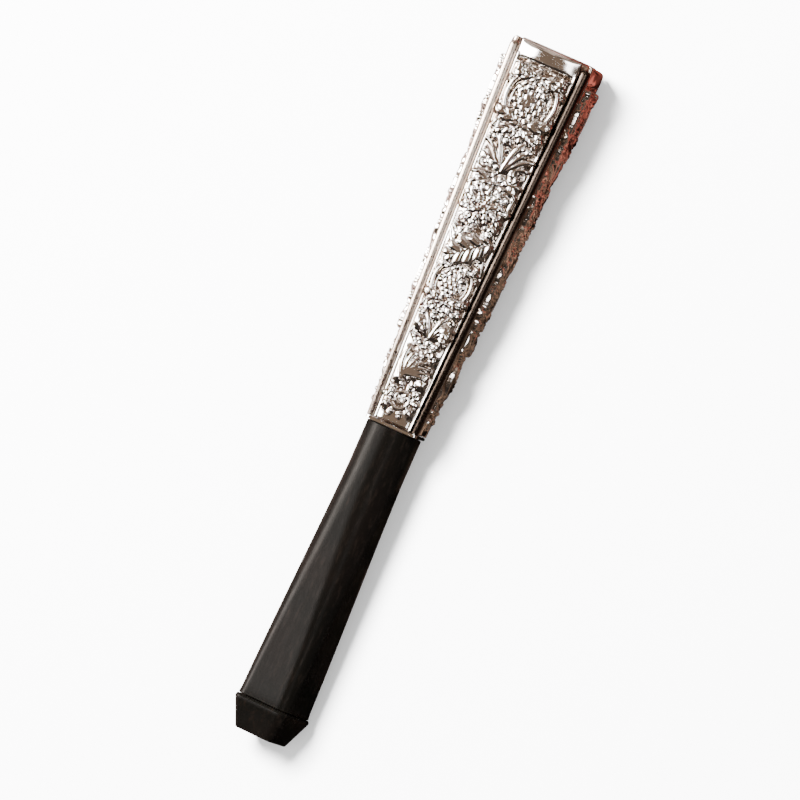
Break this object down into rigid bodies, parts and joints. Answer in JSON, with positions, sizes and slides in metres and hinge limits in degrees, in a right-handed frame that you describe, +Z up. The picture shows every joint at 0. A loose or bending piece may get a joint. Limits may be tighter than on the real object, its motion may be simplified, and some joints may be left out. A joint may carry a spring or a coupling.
{
  "type": "magic wand",
  "caption": "Stage magician's torch wand: a flared square chromed head with embossed panels and an open load cup, screwed to a black handle with a screw-on pommel.",
  "frame": {"origin": "on the resting surface, under the middle of the wand's box", "axes": "+X along the wand as it lies, towards the mouth (the wand's own axis rises 1.1 degrees towards the mouth); +Z up, out of the main panel"},
  "size_m": [0.3054, 0.0416, 0.0416],
  "materials": {
    "chrome": "bright plated, embossed, faintly smoky in the hollows",
    "lacquer": "satin black with fine rub marks",
    "cup_black": "matte black inside of the mouth",
    "felt": "black felt",
    "steel": "zinc plated",
    "brass": "turned",
    "fibre": "red vulcanised fibre",
    "rubber": "matte"
  },
  "bodies": {
    "handle": {"handle_grip": "lacquer", "top_bushing": "brass", "bottom_bushing": "brass"},
    "head_washer": {"joint_washer": "fibre"},
    "head": {"head_panel_front": "chrome", "head_panel_right": "chrome", "head_panel_back": "chrome", "head_panel_left": "chrome", "corner_column_1": "chrome", "corner_column_2": "chrome", "corner_column_3": "chrome", "corner_column_4": "chrome", "base_screw_1": "steel", "base_screw_2": "steel", "base_screw_3": "steel", "base_screw_4": "steel", "base_plate": "chrome", "mouth_ring": "chrome", "load_cup": "cup_black", "cup_pad": "felt", "head_stud": "steel", "stud_washer": "steel", "stud_nut": "steel"},
    "pommel_seal": {"pommel_gasket": "rubber"},
    "pommel": {"pommel": "lacquer", "pommel_stud": "steel"}
  },
  "joints": [
    {"name": "head_turn", "type": "hinge", "parent": "handle", "child": "head_washer", "pos_m": [-0.01555, 0, 0.01776], "axis": [0.9998, 0, 0.0192], "range_deg": [0, 1625]},
    {"name": "head_travel", "type": "slide", "parent": "head_washer", "child": "head", "axis": [0.9998, 0, 0.0192], "range_m": [0, 0.009]},
    {"name": "pommel_turn", "type": "hinge", "parent": "handle", "child": "pommel_seal", "pos_m": [-0.13903, 0, 0.01539], "axis": [-0.9998, 0, -0.0192], "range_deg": [0, 1445]},
    {"name": "pommel_travel", "type": "slide", "parent": "pommel_seal", "child": "pommel", "axis": [-0.9998, 0, -0.0192], "range_m": [0, 0.008]}
  ],
  "couplings": [
    {"joint": "head_turn", "follows": "head_travel", "rad_per_m": 3141.6},
    {"joint": "pommel_turn", "follows": "pommel_travel", "rad_per_m": 3141.6}
  ]
}
